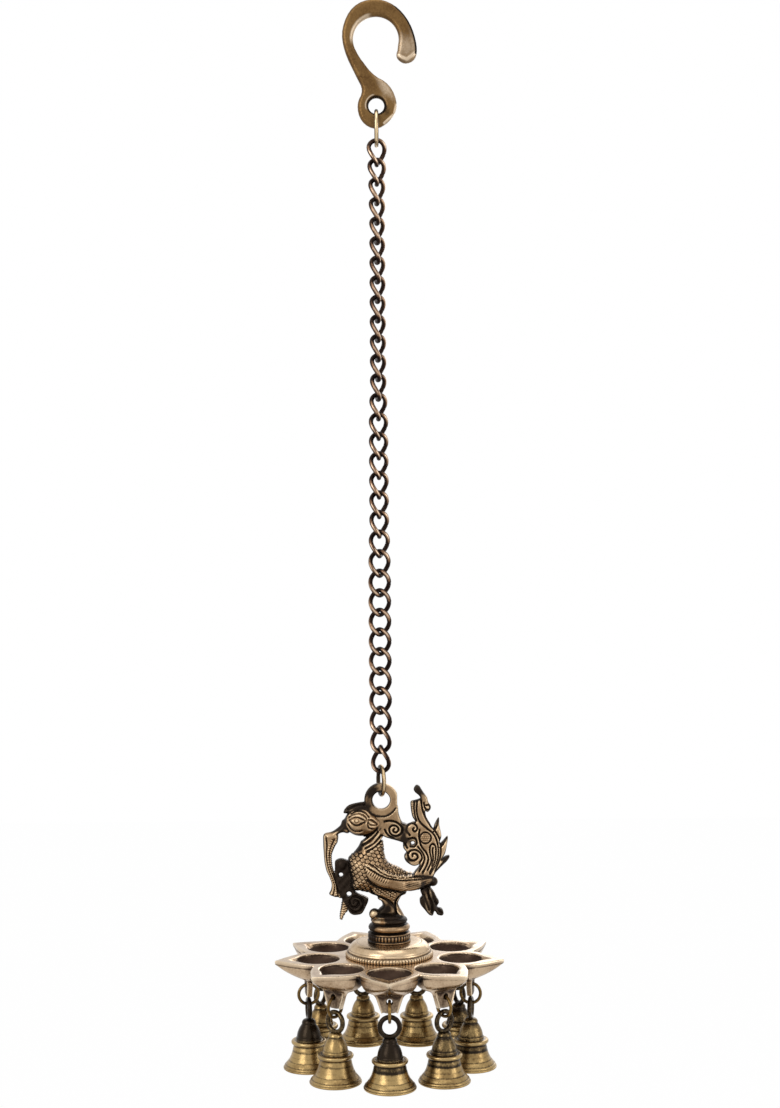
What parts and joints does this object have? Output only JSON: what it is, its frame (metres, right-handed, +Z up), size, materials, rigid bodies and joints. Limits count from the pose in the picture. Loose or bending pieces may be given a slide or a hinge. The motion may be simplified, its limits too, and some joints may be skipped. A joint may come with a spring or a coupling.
{
  "type": "hanging chain oil lamp",
  "caption": "Hanging antique-brass oil lamp: a hook and twisted chain carry a bird figure on a domed star plate of oil cups, with a bell under each cup.",
  "frame": {"origin": "centre of the hook's round seat, where the peg or rod goes", "axes": "+Z up along the hanging chain, +X to the viewer's right, front of the lamp toward -Y"},
  "size_m": [0.129, 0.127, 0.6066],
  "materials": {
    "hook_bronze": "antique brass",
    "ring_brass": "antique brass",
    "chain_brass": "antique brass",
    "bird_brass": "antique brass",
    "dome_brass": "antique brass",
    "plate_brass": "antique brass",
    "nut_brass": "antique brass",
    "wire_brass": "antique brass",
    "bell_brass": "antique brass",
    "clapper_brass": "antique brass"
  },
  "bodies": {
    "hook": {"hook": "hook_bronze"},
    "upper_ring": {"upper_ring": "ring_brass"},
    "chain_links_01": {"chain_links_01": "chain_brass"},
    "chain_links_02": {"chain_links_02": "chain_brass"},
    "chain_links_03": {"chain_links_03": "chain_brass"},
    "chain_links_04": {"chain_links_04": "chain_brass"},
    "chain_links_05": {"chain_links_05": "chain_brass"},
    "chain_links_06": {"chain_links_06": "chain_brass"},
    "chain_links_07": {"chain_links_07": "chain_brass"},
    "chain_links_08": {"chain_links_08": "chain_brass"},
    "chain_links_09": {"chain_links_09": "chain_brass"},
    "chain_links_10": {"chain_links_10": "chain_brass"},
    "chain_links_11": {"chain_links_11": "chain_brass"},
    "chain_links_12": {"chain_links_12": "chain_brass"},
    "chain_links_13": {"chain_links_13": "chain_brass"},
    "chain_links_14": {"chain_links_14": "chain_brass"},
    "chain_links_15": {"chain_links_15": "chain_brass"},
    "chain_links_16": {"chain_links_16": "chain_brass"},
    "lower_ring": {"lower_ring": "ring_brass"},
    "lamp": {"bird_figure": "bird_brass", "dome": "dome_brass", "lamp_plate": "plate_brass", "stem_nut": "nut_brass"},
    "bell_ring_1": {"bell_ring_1": "wire_brass"},
    "bell_ring_2": {"bell_ring_2": "wire_brass"},
    "bell_ring_3": {"bell_ring_3": "wire_brass"},
    "bell_ring_4": {"bell_ring_4": "wire_brass"},
    "bell_ring_5": {"bell_ring_5": "wire_brass"},
    "bell_ring_6": {"bell_ring_6": "wire_brass"},
    "bell_ring_7": {"bell_ring_7": "wire_brass"},
    "bell_ring_8": {"bell_ring_8": "wire_brass"},
    "bell_ring_9": {"bell_ring_9": "wire_brass"},
    "bell_1": {"bell_1": "bell_brass"},
    "bell_2": {"bell_2": "bell_brass"},
    "bell_3": {"bell_3": "bell_brass"},
    "bell_4": {"bell_4": "bell_brass"},
    "bell_5": {"bell_5": "bell_brass"},
    "bell_6": {"bell_6": "bell_brass"},
    "bell_7": {"bell_7": "bell_brass"},
    "bell_8": {"bell_8": "bell_brass"},
    "bell_9": {"bell_9": "bell_brass"},
    "clapper_1": {"clapper_1": "clapper_brass"},
    "clapper_2": {"clapper_2": "clapper_brass"},
    "clapper_3": {"clapper_3": "clapper_brass"},
    "clapper_4": {"clapper_4": "clapper_brass"},
    "clapper_5": {"clapper_5": "clapper_brass"},
    "clapper_6": {"clapper_6": "clapper_brass"},
    "clapper_7": {"clapper_7": "clapper_brass"},
    "clapper_8": {"clapper_8": "clapper_brass"},
    "clapper_9": {"clapper_9": "clapper_brass"}
  },
  "joints": [
    {"name": "upper_ring_swing", "type": "hinge", "parent": "hook", "child": "upper_ring", "pos_m": [0, 0, -0.0412], "axis": [0, 1, 0], "range_deg": [-30, 30]},
    {"name": "chain_01_swing", "type": "hinge", "parent": "upper_ring", "child": "chain_links_01", "pos_m": [0, 0, -0.05745], "axis": [0.9986, -0.0523, 0], "range_deg": [-12, 12]},
    {"name": "chain_02_swing", "type": "hinge", "parent": "chain_links_01", "child": "chain_links_02", "pos_m": [0, 0, -0.08272], "axis": [-0.1045, 0.9945, 0], "range_deg": [-12, 12]},
    {"name": "chain_03_swing", "type": "hinge", "parent": "chain_links_02", "child": "chain_links_03", "pos_m": [0, 0, -0.10209], "axis": [0.9272, 0.3746, 0], "range_deg": [-12, 12]},
    {"name": "chain_04_swing", "type": "hinge", "parent": "chain_links_03", "child": "chain_links_04", "pos_m": [0, 0, -0.12736], "axis": [-0.3665, 0.9304, 0], "range_deg": [-12, 12]},
    {"name": "chain_05_swing", "type": "hinge", "parent": "chain_links_04", "child": "chain_links_05", "pos_m": [0, 0, -0.14673], "axis": [0.9397, 0.342, 0], "range_deg": [-12, 12]},
    {"name": "chain_06_swing", "type": "hinge", "parent": "chain_links_05", "child": "chain_links_06", "pos_m": [0, 0, -0.172], "axis": [-0.3338, 0.9426, 0], "range_deg": [-12, 12]},
    {"name": "chain_07_swing", "type": "hinge", "parent": "chain_links_06", "child": "chain_links_07", "pos_m": [0, 0, -0.19137], "axis": [0.9511, 0.309, 0], "range_deg": [-12, 12]},
    {"name": "chain_08_swing", "type": "hinge", "parent": "chain_links_07", "child": "chain_links_08", "pos_m": [0, 0, -0.21664], "axis": [-0.165, 0.9863, 0], "range_deg": [-12, 12]},
    {"name": "chain_09_swing", "type": "hinge", "parent": "chain_links_08", "child": "chain_links_09", "pos_m": [0, 0, -0.23601], "axis": [1, -0.0035, 0], "range_deg": [-12, 12]},
    {"name": "chain_10_swing", "type": "hinge", "parent": "chain_links_09", "child": "chain_links_10", "pos_m": [0, 0, -0.26128], "axis": [0.014, 0.9999, 0], "range_deg": [-12, 12]},
    {"name": "chain_11_swing", "type": "hinge", "parent": "chain_links_10", "child": "chain_links_11", "pos_m": [0, 0, -0.28065], "axis": [0.9717, -0.2363, 0], "range_deg": [-12, 12]},
    {"name": "chain_12_swing", "type": "hinge", "parent": "chain_links_11", "child": "chain_links_12", "pos_m": [0, 0, -0.30592], "axis": [0.4279, 0.9038, 0], "range_deg": [-12, 12]},
    {"name": "chain_13_swing", "type": "hinge", "parent": "chain_links_12", "child": "chain_links_13", "pos_m": [0, 0, -0.32529], "axis": [0.7698, -0.6383, 0], "range_deg": [-12, 12]},
    {"name": "chain_14_swing", "type": "hinge", "parent": "chain_links_13", "child": "chain_links_14", "pos_m": [0, 0, -0.35056], "axis": [0.6561, 0.7547, 0], "range_deg": [-12, 12]},
    {"name": "chain_15_swing", "type": "hinge", "parent": "chain_links_14", "child": "chain_links_15", "pos_m": [0, 0, -0.36993], "axis": [0.7071, -0.7071, 0], "range_deg": [-12, 12]},
    {"name": "chain_16_swing", "type": "hinge", "parent": "chain_links_15", "child": "chain_links_16", "pos_m": [0, 0, -0.3952], "axis": [0.8511, 0.525, 0], "range_deg": [-12, 12]},
    {"name": "lower_ring_swing", "type": "hinge", "parent": "chain_links_16", "child": "lower_ring", "pos_m": [0, 0, -0.41752], "axis": [0.9962, 0.0872, 0], "range_deg": [-20, 20]},
    {"name": "lamp_swing", "type": "hinge", "parent": "lower_ring", "child": "lamp", "pos_m": [0, 0, -0.43067], "axis": [0, 1, 0], "range_deg": [-30, 30]},
    {"name": "bell_ring_1_sway", "type": "hinge", "parent": "lamp", "child": "bell_ring_1", "pos_m": [0.004, -0.0465, -0.53642], "axis": [0, -1, 0], "range_deg": [-2, 2]},
    {"name": "bell_1_swing", "type": "hinge", "parent": "bell_ring_1", "child": "bell_1", "pos_m": [0.004, -0.0465, -0.54502], "axis": [-1, 0, 0], "range_deg": [-5, 40]},
    {"name": "clapper_1_swing", "type": "hinge", "parent": "bell_1", "child": "clapper_1", "pos_m": [0.004, -0.0465, -0.56417], "axis": [1, 0, 0], "range_deg": [-20, 20]},
    {"name": "bell_ring_2_sway", "type": "hinge", "parent": "lamp", "child": "bell_ring_2", "pos_m": [0.03389, -0.03562, -0.53642], "axis": [0.6428, -0.766, 0], "range_deg": [-2, 2]},
    {"name": "bell_2_swing", "type": "hinge", "parent": "bell_ring_2", "child": "bell_2", "pos_m": [0.03389, -0.03562, -0.54502], "axis": [-0.766, -0.6428, 0], "range_deg": [-5, 40]},
    {"name": "clapper_2_swing", "type": "hinge", "parent": "bell_2", "child": "clapper_2", "pos_m": [0.03389, -0.03562, -0.56417], "axis": [0.766, 0.6428, 0], "range_deg": [-20, 20]},
    {"name": "bell_ring_3_sway", "type": "hinge", "parent": "lamp", "child": "bell_ring_3", "pos_m": [0.04979, -0.00808, -0.53642], "axis": [0.9848, -0.1736, 0], "range_deg": [-2, 2]},
    {"name": "bell_3_swing", "type": "hinge", "parent": "bell_ring_3", "child": "bell_3", "pos_m": [0.04979, -0.00808, -0.54502], "axis": [-0.1736, -0.9848, 0], "range_deg": [-5, 40]},
    {"name": "clapper_3_swing", "type": "hinge", "parent": "bell_3", "child": "clapper_3", "pos_m": [0.04979, -0.00808, -0.56417], "axis": [0.1736, 0.9848, 0], "range_deg": [-20, 20]},
    {"name": "bell_ring_4_sway", "type": "hinge", "parent": "lamp", "child": "bell_ring_4", "pos_m": [0.04427, 0.02325, -0.53642], "axis": [0.866, 0.5, 0], "range_deg": [-2, 2]},
    {"name": "bell_4_swing", "type": "hinge", "parent": "bell_ring_4", "child": "bell_4", "pos_m": [0.04427, 0.02325, -0.54502], "axis": [0.5, -0.866, 0], "range_deg": [-5, 40]},
    {"name": "clapper_4_swing", "type": "hinge", "parent": "bell_4", "child": "clapper_4", "pos_m": [0.04427, 0.02325, -0.56417], "axis": [-0.5, 0.866, 0], "range_deg": [-20, 20]},
    {"name": "bell_ring_5_sway", "type": "hinge", "parent": "lamp", "child": "bell_ring_5", "pos_m": [0.0199, 0.0437, -0.53642], "axis": [0.342, 0.9397, 0], "range_deg": [-2, 2]},
    {"name": "bell_5_swing", "type": "hinge", "parent": "bell_ring_5", "child": "bell_5", "pos_m": [0.0199, 0.0437, -0.54502], "axis": [0.9397, -0.342, 0], "range_deg": [-5, 40]},
    {"name": "clapper_5_swing", "type": "hinge", "parent": "bell_5", "child": "clapper_5", "pos_m": [0.0199, 0.0437, -0.56417], "axis": [-0.9397, 0.342, 0], "range_deg": [-20, 20]},
    {"name": "bell_ring_6_sway", "type": "hinge", "parent": "lamp", "child": "bell_ring_6", "pos_m": [-0.0119, 0.0437, -0.53642], "axis": [-0.342, 0.9397, 0], "range_deg": [-2, 2]},
    {"name": "bell_6_swing", "type": "hinge", "parent": "bell_ring_6", "child": "bell_6", "pos_m": [-0.0119, 0.0437, -0.54502], "axis": [0.9397, 0.342, 0], "range_deg": [-5, 40]},
    {"name": "clapper_6_swing", "type": "hinge", "parent": "bell_6", "child": "clapper_6", "pos_m": [-0.0119, 0.0437, -0.56417], "axis": [-0.9397, -0.342, 0], "range_deg": [-20, 20]},
    {"name": "bell_ring_7_sway", "type": "hinge", "parent": "lamp", "child": "bell_ring_7", "pos_m": [-0.03627, 0.02325, -0.53642], "axis": [-0.866, 0.5, 0], "range_deg": [-2, 2]},
    {"name": "bell_7_swing", "type": "hinge", "parent": "bell_ring_7", "child": "bell_7", "pos_m": [-0.03627, 0.02325, -0.54502], "axis": [0.5, 0.866, 0], "range_deg": [-5, 40]},
    {"name": "clapper_7_swing", "type": "hinge", "parent": "bell_7", "child": "clapper_7", "pos_m": [-0.03627, 0.02325, -0.56417], "axis": [-0.5, -0.866, 0], "range_deg": [-20, 20]},
    {"name": "bell_ring_8_sway", "type": "hinge", "parent": "lamp", "child": "bell_ring_8", "pos_m": [-0.04179, -0.00808, -0.53642], "axis": [-0.9848, -0.1736, 0], "range_deg": [-2, 2]},
    {"name": "bell_8_swing", "type": "hinge", "parent": "bell_ring_8", "child": "bell_8", "pos_m": [-0.04179, -0.00808, -0.54502], "axis": [-0.1736, 0.9848, 0], "range_deg": [-5, 40]},
    {"name": "clapper_8_swing", "type": "hinge", "parent": "bell_8", "child": "clapper_8", "pos_m": [-0.04179, -0.00808, -0.56417], "axis": [0.1736, -0.9848, 0], "range_deg": [-20, 20]},
    {"name": "bell_ring_9_sway", "type": "hinge", "parent": "lamp", "child": "bell_ring_9", "pos_m": [-0.02589, -0.03562, -0.53642], "axis": [-0.6428, -0.766, 0], "range_deg": [-2, 2]},
    {"name": "bell_9_swing", "type": "hinge", "parent": "bell_ring_9", "child": "bell_9", "pos_m": [-0.02589, -0.03562, -0.54502], "axis": [-0.766, 0.6428, 0], "range_deg": [-5, 40]},
    {"name": "clapper_9_swing", "type": "hinge", "parent": "bell_9", "child": "clapper_9", "pos_m": [-0.02589, -0.03562, -0.56417], "axis": [0.766, -0.6428, 0], "range_deg": [-20, 20]}
  ]
}
